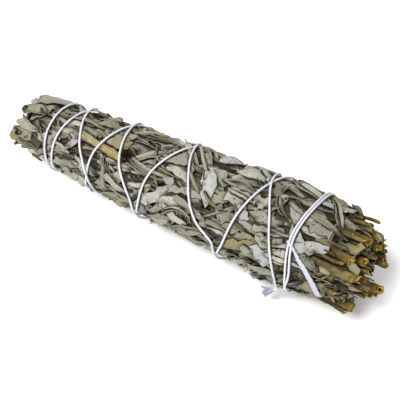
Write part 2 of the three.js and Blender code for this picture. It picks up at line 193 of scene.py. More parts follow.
CORE_END = 84  # the pressed leaves end here, and the stems run on
INNER_TURN = 45  # degrees that the inner ring is turned by against the outer
RINGS = {
    "outer": (OUTER_SPRIGS, 0, 0.685), "inner": (INNER_SPRIGS, INNER_TURN, 0.28),
}  # leafy stems in it, its turn, and its share of the radius
STEM_START = -45
SIDE_SHOOT_START = 35  # the thinner stem of a pair is a side shoot
STEMS = [
    ("outer", 0, 0, 2.3, 98, 1.5), ("outer", 1, -8, 2.4, 95, 2.2),
    ("outer", 1, 13, 2.2, 100.5, 3.2), ("outer", 2, 0, 2.4, 93, 2.2),
    ("outer", 3, -8, 2.2, 102, 3.6), ("outer", 3, 13, 1.8, 99, 3.2),
    ("outer", 4, 0, 2.4, 101.5, 2.4), ("outer", 5, -8, 2.2, 97, 2),
    ("outer", 5, 13, 1.6, 103, 2), ("outer", 6, 0, 2.4, 99, 1.2),
    ("outer", 7, -8, 2.2, 93, 1), ("outer", 7, 13, 1.5, 96, 0.5),
    ("inner", 0, -16, 2.2, 99.5, 3.6), ("inner", 0, 26, 1.6, 104, 2.8),
    ("inner", 1, -16, 2.1, 109.5, 1), ("inner", 1, 26, 1.6, 108, 4),
    ("inner", 2, -16, 2.1, 101, 2), ("inner", 2, 26, 1.5, 106.5, 1),
    ("inner", 3, 0, 2.2, 101, 3.6),
]  # ring, leafy stem, side offset in degrees, radius, cut end, splay there
SPLAY_START = 60  # from here the stems spread out
FREE_START = 74  # past the last turn of string they are crooked as well
PAIR_SPREADS = (10, 60)  # between these a main stem makes room for its side shoot
STEM_SIDES = 12
HIDDEN_RINGS, SHOWN_RINGS = 8, 40  # of points along a stem
SQUARENESS = 0.11  # how far the corners of a stem stand out
NODE_HEIGHT, NODE_LENGTH = 0.22, 1.2  # of a leaf node's ring: share of the radius, mm
BARK = 0.4  # mm thick
PITH_SHARE = 0.58  # of a cut stem's radius
HOLLOW_CHANCE = 0.6
GOLDEN_LENGTH = 1.5  # mm from the cut in which its golden colour fades out
STUBS = 5  # leaf stalks and twigs broken off beside each stem
STUB_START, STUB_LIMIT = 68, 102


def stem_centre(stem, x):
    """The middle of a stem, and which way is outwards there."""
    ring, sprig, side, _, end, splay = stem
    count, turned, share = RINGS[ring]
    held = np.minimum(x, CORE_END)
    middle = (border_angle(count, sprig, held) + border_angle(count, sprig + 1, held)) / 2
    angle = turned + middle + side * (1 if side > 0 else smoothstep(x, *PAIR_SPREADS))
    reach = share * skin_radius(held) + splay * smoothstep(x, SPLAY_START, end)
    return place(x, angle, reach - skin_radius(x)), upright(x, angle)


def squarish(sizes, turned, flattened):
    """Sections of these sizes for a square stem with rounded corners, pressed a little flat."""
    around = np.linspace(0, 2 * np.pi, STEM_SIDES, endpoint=False)
    reach = 1 + SQUARENESS * np.cos(4 * (around + turned)) - flattened * np.cos(2 * around)
    reach = np.asarray(sizes)[:, None] * reach[None]
    return np.stack([reach * np.cos(around), reach * np.sin(around)], axis=-1)


def cut_across(draw, rows, slope, torn):
    """Slants the cut end and tears its rim a little."""
    middle = sum((vert.co for vert in rows[-1]), Vector()) / len(rows[-1])
    slant = draw.uniform(-slope, slope), draw.uniform(-slope, slope)
    for vert in rows[-1]:
        off = vert.co - middle
        vert.co.x += slant[0] * off.y + slant[1] * off.z + draw.uniform(-torn, torn) * MM


def write_stem(draw, layers, verts, end, golden):
    """Writes on the points how dark the bark is, and how golden the wood is towards its cut."""
    tone, hollow = draw.random(), float(draw.random() < HOLLOW_CHANCE)
    for vert in verts:
        to_end = max(end - MIDDLE - vert.co.x / MM, 0)
        vert[layers["tone"]] = tone
        vert[layers["hollow"]] = hollow
        vert[layers["golden"]] = golden * math.exp(-to_end / GOLDEN_LENGTH)


def add_stem(bm, layers, draw, stem):
    """A square stem, a little crooked, with rings where its leaf pairs sat. Its end is cut."""
    radius, end = stem[3:5]
    start = SIDE_SHOOT_START if stem[2] > 0 else STEM_START
    x = np.concatenate([
        np.linspace(start, SPLAY_START - 2, HIDDEN_RINGS),
        np.linspace(SPLAY_START, end, SHOWN_RINGS)])
    path, outward = stem_centre(stem, x)
    free = smoothstep(x, FREE_START, end)
    path[:, 1] += free * np.sin(x / 5 + draw.uniform(0, 6)) * 0.4
    path[:, 2] += free * np.sin(x / 6 + draw.uniform(0, 6)) * 0.4
    node_at = end - draw.uniform(5, 13)
    rings = [node_at, node_at - draw.uniform(1.5, 3), node_at - draw.uniform(13, 18)]
    swelling = sum(np.exp(-((x - ring) / NODE_LENGTH) ** 2) for ring in rings)
    ridges = 0.05 * np.sin(x * 2.1 + draw.uniform(0, 6)) + 0.04 * np.sin(x * 3.7)
    sizes = radius * (1 + NODE_HEIGHT * swelling + ridges)
    section = squarish(sizes, draw.uniform(0, 1.5), draw.uniform(0, 0.16))
    rows, ends = add_tube(bm, path, outward, section)
    cut_across(draw, rows, 0.5, 0.4)
    cut = ends[1]
    cut.material_index = 1
    bmesh.ops.inset_region(bm, faces=[cut], thickness=BARK * MM, depth=0)
    ring = list(cut.verts)
    wood = radius * (1 - PITH_SHARE) * MM
    bmesh.ops.inset_region(bm, faces=[cut], thickness=wood, depth=-0.5 * MM)
    cut.material_index = 2
    verts = [vert for row in rows for vert in row] + ring + list(cut.verts)
    write_stem(draw, layers, verts, end, draw.uniform(0.5, 1))


def add_stub(bm, layers, draw, stem):
    """A thin stalk that lies against a stem and ends short of its cut, or a little past it."""
    end = min(stem[4], STUB_LIMIT) - draw.uniform(-3, 11)
    x = np.linspace(STUB_START, end, 14)
    path, outward = stem_centre(stem, x)
    turn, radius = draw.uniform(0, 6.3), draw.uniform(0.4, 1.15)
    apart = (stem[3] + radius * 0.7 + draw.uniform(0, 2) * smoothstep(x, 75, end)) * 0.95
    path[:, 1] += apart * math.cos(turn) + 0.3 * np.sin(x / 4 + draw.uniform(0, 6))
    path[:, 2] += apart * math.sin(turn) + 0.3 * np.sin(x / 3 + draw.uniform(0, 6))
    path[:, 2] = np.maximum(path[:, 2], 2.2)
    sizes = radius * (1 + 0.15 * np.sin(x * 1.3 + draw.uniform(0, 6)))
    section = squarish(sizes, 0, draw.uniform(0, 0.5))[:, ::2]
    rows, ends = add_tube(bm, path, outward, section)
    cut_across(draw, rows, 0.8, 0.6)
    ends[1].material_index = 1
    write_stem(draw, layers, [vert for row in rows for vert in row], end, draw.uniform(0, 1))


# Dried bark: dull olive to straw brown, with fine fibres along the stem, golden where it was cut.
bark = new_material("Dried sage bark", Roughness=0.75, Specular_IOR_Level=0.15)
uv = add_node(bark, "UVMap", {})["UV"]
fibres_at = add_node(bark, "Mapping", {"Vector": uv, "Scale": (5, 14, 1)})["Vector"]
fibres = add_node(bark, "TexNoise", {"Vector": fibres_at, "Scale": 1, "Detail": 4})["Fac"]
streaks = add_node(bark, "MapRange", {"Value": fibres, "From Min": 0.38, "From Max": 0.62})["Result"]
where = add_node(bark, "TexCoord", {})["Object"]
patches = add_node(bark, "TexNoise", {"Vector": where, "Scale": 1 / (4 * MM), "Detail": 4})["Fac"]
patchy = add_node(bark, "MapRange", {"Value": patches, "From Min": 0.46, "From Max": 0.6})["Result"]
tone, golden = (
    add_node(bark, "Attribute", {}, attribute_name=name)["Fac"] for name in ("tone", "golden"))
# Painted shade: the bark is darkened to near-black brown where other stems close in on it, as the shade
# between them.
openness = add_node(bark, "AmbientOcclusion", {"Distance": 3 * MM}, samples=8)["AO"]
closed_in = {"Value": openness, "From Min": 0.92, "From Max": 0.52, "To Max": 1}
shade_between_stems = add_node(bark, "MapRange", closed_in)["Result"]
ground = linear("#3c361b")
for share, colour in (
        (tone, "#766e49"), (streaks, "#3a3115"), (patchy, "#3c3115"), (golden, "#90700c"),
        (shade_between_stems, "#1c1206")):
    over = {SHARE: share, FIRST: ground, SECOND: linear(colour)}
    ground = add_node(bark, "Mix", over, data_type="RGBA")[MIXED]
bump = add_node(bark, "Bump", {"Height": fibres, "Strength": 1, "Distance": 0.5 * MM})["Normal"]
link_surface(bark, Base_Color=ground, Normal=bump)

# The cut face of the wood: straw to orange, with the grain end on.
cut_wood = new_material("Cut sage wood", Roughness=0.7, Specular_IOR_Level=0.15)
where = add_node(cut_wood, "TexCoord", {})["Object"]
grain = add_node(cut_wood, "TexNoise", {"Vector": where, "Scale": 1 / (0.6 * MM), "Detail": 2})["Fac"]
dark_grain = add_node(cut_wood, "MapRange", {"Value": grain, "From Min": 0.42, "From Max": 0.62})["Result"]
tone = add_node(cut_wood, "Attribute", {}, attribute_name="tone")["Fac"]
ground = linear("#b88f1a")
for share, colour in ((tone, "#c2a95c"), (dark_grain, "#442b08")):
    over = {SHARE: share, FIRST: ground, SECOND: linear(colour)}
    ground = add_node(cut_wood, "Mix", over, data_type="RGBA")[MIXED]
bump = add_node(cut_wood, "Bump", {"Height": grain, "Strength": 0.8, "Distance": 0.3 * MM})["Normal"]
link_surface(cut_wood, Base_Color=ground, Normal=bump)

# Pith: pale and spongy. Where the stem is hollow, the pith face is painted near black, as the shade inside
# the hollow.
pith = new_material("Sage pith", Roughness=0.95, Specular_IOR_Level=0.1)
where = add_node(pith, "TexCoord", {})["Object"]
sponge = add_node(pith, "TexNoise", {"Vector": where, "Scale": 1 / (0.4 * MM), "Detail": 2})["Fac"]
hollow_shade = add_node(pith, "Attribute", {}, attribute_name="hollow")["Fac"]
ground = linear("#d9c287")
for share, colour in ((sponge, "#8d6d33"), (hollow_shade, "#1d150b")):
    over = {SHARE: share, FIRST: ground, SECOND: linear(colour)}
    ground = add_node(pith, "Mix", over, data_type="RGBA")[MIXED]
link_surface(pith, Base_Color=ground)

for number, stem in enumerate(STEMS, 1):
    draw = random.Random(400 + number)
    bm = new_bmesh()
    layers = {name: bm.verts.layers.float.new(name) for name in ("tone", "hollow", "golden")}
    add_stem(bm, layers, draw, stem)
    for _ in range(STUBS):
        add_stub(bm, layers, draw, stem)
    bmesh.ops.recalc_face_normals(bm, faces=bm.faces)
    for face in bm.faces:
        face.smooth = face.material_index == 0
    node = f"stem_{number:02d}"
    add_piece(f"{node}_wood", bm, [bark, cut_wood, pith], node)

# ------------------------------------------------------------------ inner leaves
# The leaves of the four inner leafy stems are pressed to a brown mass by the string. Only their
# tips show at the thin end, and the leaves turned back among the cut stems at the stout end.

LEAF_ROWS, LEAF_COLUMNS = 9, 7
LEAF_THICKNESS = 0.42  # a dried blade with its felt
ACROSS = np.linspace(-1, 1, LEAF_COLUMNS)
KINDS = {"flat": 9, "folded": 22, "rolled": 27, "torn": 36, "strip": 6}  # how common each is
CURLED_CHANCE, PALE_CHANCE, DRY_CHANCE = 0.38, 0.12, 0.16
CREASED = math.radians(27)  # a sharper bend than this is a crease
CORE_START = -88
CORE_CUTS = 15  # across each edge of the cube that a quarter of the mass is bent from
CORE_ROUGHNESS, CORE_SHADE = 0.6, 0.9
PILE_DEPTH = 8.5  # the loose outer leaves fill this depth under the skin
INNER_TIPS, INNER_BUTTS = 36, 90  # loose leaves at the two ends of each quarter
END_TILT = 55  # degrees, the most that such a leaf leans
INNER_SHADE, SHADE_START, SHADE_END = 0.8, 84, 96  # they are darkest inside, and lit at the ends
SHORTEST_AT = -25  # degrees round the bunch, where its leaves end soonest at the butt


def shortness(angle):
    """1 where the leaves end soonest at the butt, down to 0 a quarter turn away from it."""
    return np.maximum(np.cos(np.radians(angle - SHORTEST_AT)), 0)


def softened(values, passes):
    """Evens out a row of values, ends included."""
    for _ in range(passes):
        padded = np.concatenate([values[:1], values, values[-1:]])
        values = (padded[:-2] + 2 * padded[1:-1] + padded[2:]) / 4
    return values


def drawn_leaf(draw, **given):
    """A leaf's kind, size, bends and colour, drawn by lot. What is given replaces what was drawn."""
    kind = draw.choices(list(KINDS), list(KINDS.values()))[0]
    leaf = {
        "towards": -1 if draw.random() < 0.6 else 1,
        "yaw": draw.gauss(0, 31),
        "bend": draw.gauss(0, 22),
        "length": draw.uniform(10, 28),
        "width": draw.uniform(4.6, 9.2),
        "rolls": [(0, draw.uniform(-25, 50)), (0, draw.uniform(-25, 50))],
        "point": draw.uniform(0.04, 0.35),
        "base": 0.28,
        "edges": [[draw.uniform(0.78, 1.05) for _ in range(LEAF_ROWS)] for _ in range(2)],
        "slant": draw.uniform(-0.08, 0.08),
        "creases": [[draw.gauss(0, 0.17) for _ in range(LEAF_COLUMNS)] for _ in range(LEAF_ROWS)],
        "wave": draw.uniform(0.1, 0.7),
        "waves": draw.uniform(0.8, 2.6),
        "phase": draw.uniform(0, 6.3),
        "sway": draw.uniform(1, 9),
        "twist": draw.gauss(0, 14),
        "curl": 0,
        "curl_from": draw.uniform(0.55, 0.8),
        "lift": 0,
        "rise": 0,
        "tone": draw.random(),
        "pale": 0.0,
        "dry": 0.0,
    }
    if kind == "folded":
        fold = draw.choice([-1, 1]) * draw.uniform(30, 75)
        leaf["rolls"] = [(fold, fold * draw.uniform(0.6, 1.2)) for _ in range(2)]
        leaf["width"] *= 1.25
    if kind == "rolled":
        leaf["rolls"] = [(0, draw.uniform(110, 260)), (0, draw.uniform(60, 230))]
        leaf["width"] *= draw.uniform(0.95, 1.5)
    if kind == "torn":
        leaf["length"] = draw.uniform(8, 21)
        leaf["width"] *= draw.uniform(0.8, 1.25)
        leaf["point"] = draw.uniform(0.45, 0.95)
        leaf["base"] = draw.uniform(0.3, 0.95)
        leaf["slant"] = draw.uniform(-0.3, 0.3)
        leaf["edges"] = [[draw.uniform(0.5, 1.1) for _ in range(LEAF_ROWS)] for _ in range(2)]
    if kind == "strip":
        leaf["length"] = draw.uniform(14, 34)
        leaf["width"] = draw.uniform(1.6, 2.6)
        leaf["rolls"] = [(0, -90), (0, -90)]
        leaf["dry"] = draw.uniform(0.4, 1)
    if draw.random() < CURLED_CHANCE:
        leaf["curl"] = draw.choice([1, 1, -1]) * draw.uniform(35, 140)
    if draw.random() < PALE_CHANCE:
        leaf["pale"] = draw.uniform(0.25, 0.75)
    if draw.random() < DRY_CHANCE:
        leaf["dry"] = draw.uniform(0.3, 1)
    leaf.update(given)
    return leaf


def leaf_form(leaf, s, v):
    """A leaf's own form at shares s along it and v across it: mm along, across and up."""
    base, point = leaf["base"], leaf["point"]
    outline = [
        (0, base), (0.15, 0.54 + 0.42 * base), (0.4, 1), (0.7, 0.88 + 0.1 * point),
        (0.9, 0.5 + 0.45 * point), (1, point),
    ]
    half = leaf["width"] / 2 * smooth_through(outline, s)[:, None] * np.ones(len(v))
    lateral = np.zeros_like(half)
    raised = np.zeros_like(half)
    for side, (fold, roll), edge in zip((-1, 1), leaf["rolls"], leaf["edges"]):
        here = v * side > 0
        t = np.abs(v[here])[None]
        reach = half[:, here] * np.interp(s, np.linspace(0, 1, LEAF_ROWS), edge)[:, None]
        start, turn = math.radians(fold), math.radians(roll - fold) or 1e-3
        lateral[:, here] = side * reach * (np.sin(start + turn * t) - math.sin(start)) / turn
        raised[:, here] = reach * (math.cos(start) - np.cos(start + turn * t)) / turn
    turns = 2 * np.pi * leaf["waves"] * s
    ripple = np.sin(turns + leaf["phase"])[:, None] * np.abs(v[None]) ** 1.5
    raised = raised + leaf["wave"] * ripple * np.sign(v[None] + 0.2)
    # Its midrib sways up and down, and its tip curls.
    rise = math.radians(leaf["sway"]) * np.sin(turns - leaf["phase"])
    rise = rise + math.radians(leaf["curl"]) * smoothstep(s, leaf["curl_from"], 1)
    step = leaf["length"] / (len(s) - 1)
    forward = np.cumsum(np.cos(rise)) * step
    up = np.cumsum(np.sin(rise)) * step + leaf["lift"] * s**2
    slanted = leaf["length"] * leaf["slant"] * v[None] * s[:, None] ** 4
    along = (forward - forward[0])[:, None] + slanted - raised * np.sin(rise)[:, None]
    return along, lateral, (up - up[0])[:, None] + raised * np.cos(rise)[:, None]


def leaf_place(leaf, along, lateral):
    """Where the leaf's places lie on the skin: x in mm and the angle round the bunch."""
    bend = math.radians(leaf["bend"])
    start = math.radians(leaf["yaw"]) - bend / 2
    turned = bend * along / leaf["length"]
    heading = start + turned
    chord = along * np.sinc(turned / (2 * np.pi))
    forward = leaf["towards"] * chord * np.cos(start + turned / 2)
    sideways = chord * np.sin(start + turned / 2)
    x = leaf["x"] + forward + lateral * np.sin(heading)
    arc = sideways - leaf["towards"] * lateral * np.cos(heading)
    return x, leaf["angle"] + np.degrees(arc / skin_radius(leaf["x"]))


def add_leaf(bm, layers, leaf, x, angle, above, painted_shade):
    """Adds one blade, with its colours and its painted shade written on its points."""
    rows = add_sheet(bm, place(x, angle, above))
    for row, shares in zip(rows, painted_shade):
        for vert, share in zip(row, shares):
            for name in ("tone", "pale", "dry"):
                vert[layers[name]] = leaf[name]
            vert[layers["depth"]] = share


def leaf_bmesh():
    """An empty mesh with the numbers on its points that the leaf's materials read."""
    bm = new_bmesh()
    return bm, {name: bm.verts.layers.float.new(name) for name in ("tone", "pale", "dry", "depth")}


# White sage leaf, dried: grey-green under a felt of short white hairs, so it is matt and soft. The
# midrib and the net of side veins are raised, and the margin dries olive.
leaf_skin = new_material(
    "White sage leaf", Roughness=0.9, Specular_IOR_Level=0.1, Sheen_Weight=0.04, Sheen_Roughness=0.5)
tone, pale, dry, depth = (
    add_node(leaf_skin, "Attribute", {}, attribute_name=name)["Fac"]
    for name in ("tone", "pale", "dry", "depth"))
where = add_node(leaf_skin, "TexCoord", {})["Object"]
blotches = {"Vector": where, "Scale": 1 / (4 * MM), "Detail": 5, "Roughness": 0.65}
mottle = add_node(leaf_skin, "TexNoise", blotches)["Fac"]
dulled = {"Value": mottle, "From Min": 0.42, "From Max": 0.68, "To Max": 0.4}
dull = add_node(leaf_skin, "MapRange", dulled)["Result"]
specks = add_node(leaf_skin, "TexNoise", {"Vector": where, "Scale": 1 / (1.3 * MM), "Detail": 1})["Fac"]
speckled = add_node(leaf_skin, "MapRange", {"Value": specks, "From Min": 0.68, "From Max": 0.73})["Result"]
# Across the blade: 0 at the midrib and 0.5 at the margin.
uv = add_node(leaf_skin, "UVMap", {})["UV"]
parts = add_node(leaf_skin, "SeparateXYZ", {"Vector": uv})
off_middle = add_node(leaf_skin, "Math", {0: parts["Y"], 1: 0.5}, operation="SUBTRACT")["Value"]
outwards = add_node(leaf_skin, "Math", {0: off_middle}, operation="ABSOLUTE")["Value"]
near_rib = {"Value": outwards, "From Min": 0.04, "From Max": 0.0}
midrib = add_node(leaf_skin, "MapRange", near_rib)["Result"]
pale_rib = add_node(leaf_skin, "Math", {0: midrib, 1: 0.2}, operation="MULTIPLY")["Value"]
near_margin = {"Value": outwards, "From Min": 0.4, "From Max": 0.5, "To Max": 0.35}
margin = add_node(leaf_skin, "MapRange", near_margin)["Result"]
# Side veins leave the midrib every 2 to 3 mm and lean towards the tip.
lean = add_node(leaf_skin, "Math", {0: outwards, 1: 0.35}, operation="MULTIPLY")["Value"]
vein_at = add_node(leaf_skin, "Math", {0: parts["X"], 1: lean}, operation="SUBTRACT")["Value"]
vein_turn = add_node(leaf_skin, "Math", {0: vein_at, 1: 55}, operation="MULTIPLY")["Value"]
vein_wave = add_node(leaf_skin, "Math", {0: vein_turn}, operation="SINE")["Value"]
veins = add_node(leaf_skin, "MapRange", {"Value": vein_wave, "From Min": 0.6, "From Max": 1})["Result"]
pale_veins = add_node(leaf_skin, "Math", {0: veins, 1: 0.1}, operation="MULTIPLY")["Value"]
# Painted shade: where blades lie close together, the gaps are darkened to brown and, closer still, to near
# black. Blades that lie deep or under others are darkened the same way. This stands for the shade there.
openness = add_node(leaf_skin, "AmbientOcclusion", {"Distance": 1.5 * MM}, samples=8)["AO"]
narrowing = {"Value": openness, "From Min": 0.96, "From Max": 0.7, "To Max": 0.5}
gap_shade = add_node(leaf_skin, "MapRange", narrowing)["Result"]
closed_in = {"Value": openness, "From Min": 0.89, "From Max": 0.59, "To Max": 1}
crack_shade = add_node(leaf_skin, "MapRange", closed_in)["Result"]
shaded = add_node(leaf_skin, "Math", {0: crack_shade, 1: depth}, operation="MAXIMUM")["Value"]
ground = linear("#6c6b61")
for share, colour in (
        (tone, "#99988f"), (pale, "#96979c"), (dry, "#706947"), (dull, "#6d6b58"),
        (pale_veins, "#b9b8a5"), (pale_rib, "#bdbaa0"), (margin, "#6f6a4a"), (speckled, "#4a432c"),
        (gap_shade, "#5e5534"), (shaded, "#140f07")):
    over = {SHARE: share, FIRST: ground, SECOND: linear(colour)}
    ground = add_node(leaf_skin, "Mix", over, data_type="RGBA")[MIXED]
# The crumpled blade, its felt and its ribs. The felt is drawn coarser than its hairs, to show.
ribs = add_node(leaf_skin, "Math", {0: veins, 1: midrib}, operation="ADD")["Value"]
crumple = add_node(leaf_skin, "TexNoise", {"Vector": where, "Scale": 1 / (2 * MM), "Detail": 3})["Fac"]
felt = add_node(leaf_skin, "TexNoise", {"Vector": where, "Scale": 1 / (0.6 * MM), "Detail": 3})["Fac"]
normal = {}
for height, strength, raised in ((crumple, 1, 0.8), (felt, 0.8, 0.25), (ribs, 0.5, 0.25)):
    form = {"Height": height, "Strength": strength, "Distance": raised * MM, **normal}
    normal = {"Normal": add_node(leaf_skin, "Bump", form)["Normal"]}
link_surface(leaf_skin, Base_Color=ground, **normal)

# The broken edge of a blade, seen end on: olive, and a little glossier than the felt.
leaf_edge = new_material("White sage leaf edge", Roughness=0.8, Specular_IOR_Level=0.12)
where = add_node(leaf_edge, "TexCoord", {})["Object"]
grain = add_node(leaf_edge, "TexNoise", {"Vector": where, "Scale": 1 / (3 * MM), "Detail": 2})["Fac"]
# Painted shade: the edges of blades that lie deep in the bunch or under others are darkened to near black.
depth = add_node(leaf_edge, "Attribute", {}, attribute_name="depth")["Fac"]
ground = linear("#4c4834")
for share, colour in ((grain, "#757260"), (depth, "#1e190f")):
    over = {SHARE: share, FIRST: ground, SECOND: linear(colour)}
    ground = add_node(leaf_edge, "Mix", over, data_type="RGBA")[MIXED]
link_surface(leaf_edge, Base_Color=ground)


def add_leaf_piece(name, bm, node):
    """Makes the blades a piece, sharp where they are creased, and gives them their thickness."""
    for face in bm.faces:
        face.smooth = True
    for edge in bm.edges:
        edge.smooth = not edge.is_boundary and edge.calc_face_angle(0) < CREASED
    piece = add_piece(name, bm, [leaf_skin, leaf_edge], node)
    thickness = piece.modifiers.new("Blade thickness", "SOLIDIFY")
    thickness.thickness = LEAF_THICKNESS * MM
    thickness.offset = -1
    thickness.use_rim = True
    thickness.material_offset_rim = 1


def add_core(bm, layers, sprig):
    """A quarter of the pressed brown mass, from a cube cut up and bent to its place."""
    made = bmesh.ops.create_cube(bm, size=1)
    edges = list({edge for vert in made["verts"] for edge in vert.link_edges})
    bmesh.ops.subdivide_edges(bm, edges=edges, cuts=CORE_CUTS, use_grid_fill=True)
    draw = np.random.default_rng(70 + sprig)
    for vert in bm.verts:
        along, around, out = (c + 0.5 for c in vert.co)
        x = CORE_START + (CORE_END - CORE_START) * along
        low, high = (border_angle(INNER_SPRIGS, sprig + side, x) for side in (0, 1))
        angle = INNER_TURN + low + (high - low) * around
        deepest = float(skin_radius(x)) - 1
        above = -deepest * (1 - out) - (PILE_DEPTH + CORE_ROUGHNESS * float(draw.random())) * out
        vert.co = place(x, angle, above) * MM
        # Painted shade: the mass is darkened almost to black, as the shade deep inside the bunch.
        vert[layers["depth"]] = CORE_SHADE
    bmesh.ops.recalc_face_normals(bm, faces=bm.faces)


def add_end_leaf(bm, layers, draw, leaf, depth):
    """A leaf that lies on its own inside the bunch's end, at a depth under the skin."""
    s = np.linspace(0, 1, LEAF_ROWS)
    along, lateral, height = leaf_form(leaf, s, ACROSS)
    x, angle = leaf_place(leaf, along, lateral * 1.2)  # nearer the axis, so wider in degrees
    tilt = math.tan(math.radians(draw.uniform(-END_TILT, END_TILT)))
    above = -depth + height + tilt * lateral + draw.gauss(0, 0.12) * along
    above = np.clip(above, 1 - skin_radius(x), 0.5)
    shade = INNER_SHADE * smoothstep(-np.abs(x), -SHADE_END, -SHADE_START)
    add_leaf(bm, layers, leaf, x, angle, above, shade)


for sprig in range(INNER_SPRIGS):
    bm, layers = leaf_bmesh()
    add_core(bm, layers, sprig)
    draw = random.Random(80 + sprig)
    for _ in range(INNER_TIPS):
        angle = INNER_TURN + 90 * sprig + draw.uniform(-45, 45)
        leaf = drawn_leaf(
            draw, x=draw.uniform(-84, -74), angle=angle, towards=-1, length=draw.uniform(10, 19))
        leaf["lift"] = draw.uniform(-3, 3)
        add_end_leaf(bm, layers, draw, leaf, draw.uniform(2, 15))
    for _ in range(INNER_BUTTS):
        angle = INNER_TURN + 90 * sprig + draw.uniform(-45, 45)
        leaf = drawn_leaf(
            draw, x=draw.uniform(76, 90), angle=angle, towards=1, length=draw.uniform(7, 13))
        leaf["yaw"] *= 0.6
        leaf["width"] *= 0.7
        leaf["point"] = draw.uniform(0.4, 1)
        leaf["dry"] = max(leaf["dry"], draw.choice([0.6, 0.8, 1, 1]))
        leaf["pale"] = 0
        leaf["tone"] *= 0.3
        add_end_leaf(bm, layers, draw, leaf, draw.uniform(2.5 + 5 * shortness(angle), 19))
    node = f"leaves_inner_{sprig + 1}"
    add_leaf_piece(f"{node}_blades", bm, node)

# ------------------------------------------------------------------ side stem
# One short bare side stem lies in the skin, held under two turns of string. Its bark has gone and
# it has dried to a pale tan.

SIDE_STEM = {"from": (-57, 23), "to": (-29.5, 35), "radius": 2.2, "depth": 2.1}

# Bare wood: dull tan with long fine grain and brown stains, yellow towards its broken end.
bare_wood = new_material("Bare dried sage wood", Roughness=0.72, Specular_IOR_Level=0.3)
uv = add_node(bare_wood, "UVMap", {})["UV"]
grain_at = add_node(bare_wood, "Mapping", {"Vector": uv, "Scale": (3, 20, 1)})["Vector"]
grain = add_node(bare_wood, "TexNoise", {"Vector": grain_at, "Scale": 1, "Detail": 5})["Fac"]
dark_grain = add_node(bare_wood, "MapRange", {"Value": grain, "From Min": 0.38, "From Max": 0.6})["Result"]
where = add_node(bare_wood, "TexCoord", {})["Object"]
stains = add_node(bare_wood, "TexNoise", {"Vector": where, "Scale": 1 / (3 * MM), "Detail": 3})["Fac"]
stained = add_node(bare_wood, "MapRange", {"Value": stains, "From Min": 0.55, "From Max": 0.65})["Result"]
along = add_node(bare_wood, "SeparateXYZ", {"Vector": where})["X"]
near_end = {"Value": along, "From Min": -44 * MM, "From Max": -34 * MM, "To Max": 0.8}
yellowing = add_node(bare_wood, "MapRange", near_end)["Result"]
ground = linear("#8f8664")
for share, colour in ((dark_grain, "#6a6040"), (stained, "#5c4c2a"), (yellowing, "#7f6c3a")):
    over = {SHARE: share, FIRST: ground, SECOND: linear(colour)}
    ground = add_node(bare_wood, "Mix", over, data_type="RGBA")[MIXED]
bump = add_node(bare_wood, "Bump", {"Height": grain, "Strength": 0.6, "Distance": 0.3 * MM})["Normal"]
link_surface(bare_wood, Base_Color=ground, Normal=bump)

bm = new_bmesh()
t = np.linspace(0, 1, 30)
x, angle = (SIDE_STEM["from"][i] + (SIDE_STEM["to"][i] - SIDE_STEM["from"][i]) * t for i in (0, 1))
swelling = 0.88 + 0.08 * np.sin(9 * t + 1) + 0.16 * np.exp(-((t - 0.78) / 0.05) ** 2)
path = place(x, angle, -SIDE_STEM["depth"] + 0.25 * np.sin(6 * t))
rows, ends = add_tube(bm, path, upright(x, angle), squarish(SIDE_STEM["radius"] * swelling, 0.4, 0.05))
cut_across(random.Random(31), rows, 0.6, 0.5)
for end in ends:
    bmesh.ops.inset_region(bm, faces=[end], thickness=0.9 * MM, depth=-0.6 * MM)
bmesh.ops.recalc_face_normals(bm, faces=bm.faces)
for face in bm.faces:
    face.smooth = len(face.verts) == 4
add_piece("side_stem_wood", bm, [bare_wood], "side_stem")

# ------------------------------------------------------------------ outer leaves
# The leaves of the eight outer leafy stems, dried hard as they were pressed: folded, rolled, torn
# and lying over one another. The string pulls them in, and they spring up between its turns.

STRING_KEYS = [
    (125, 67.4), (340, 69.5), (397, 67.5), (450, 70.9), (700, 70.8), (757, 68.8), (810, 72.1),
    (1060, 46.2), (1117, 40), (1170, 36), (1420, -1.2), (1477, -10), (1530, -12.3), (1780, -37),
    (1837, -43.7), (1890, -45.5), (2140, -64.3), (2197, -68), (2250, -68.6), (2500, -75.2),
    (2557, -75), (2610, -72.6), (2860, -62.2), (2917, -54.1), (2970, -43), (3220, -35),
    (3277, -28.8), (3330, -16), (3580, 1.4), (3637, 12.3), (3668, 21.2), (3690, 32),
    (3940, 44.6), (3997, 56), (4050, 65.2), (4085, 66),
]  # degrees wound so far, and how far along the bunch the string is there
OUTER_LEAVES = 2500
CROSSWISE_CHANCE = 0.22  # of a leaf that lies at any angle
ORDER_SPREAD = 45  # mm; each leaf mostly lies on those nearer the tips
DRIED_BUTT = 86  # mm along the bunch; leaves that reach past it are dry
BED_START, BED_END, BED_CELL = -112, 112, 0.8  # mm
BED_ANGLES = 240
STIFFNESS = 11  # how far a blade evens out the bed that it lies on
MOST_TILT = 0.16  # mm up for each mm of a blade's width
MOST_PROP = 2.5  # a curl that stands higher doesn't prop up the next blade
LEAF_SPACE = 0.3  # left under each blade
FREE_RISE = 1.3  # how far the leaves spring up between the turns
HELD_RISE = 0.1  # under the string
STRING_HOLD = (0.4, 2.6)  # mm from it in which its hold on them fades out
LUMPS = 0.4  # how uneven they are
SAG = 1.8  # how much further they reach down between the turns underneath
BUTT_START, BUTT_END, BUTT_DIP = 82, 98, 5.5  # where they end on top, and how far they dip there
BUTT_SPRING = 0.2  # and how far they spring up elsewhere
CLOSE_DEPTH = 3  # blades nearer the top of the pile than this keep their spacing
PRESSED_SHARE = 0.66  # of that spacing is left by the string, between its turns
HELD_SHARE = 0.35  # of what is left there, under it
TIP_RISE = 0.8  # the furthest that a blade stands out of the pile
TABLE_GAP = 0.2
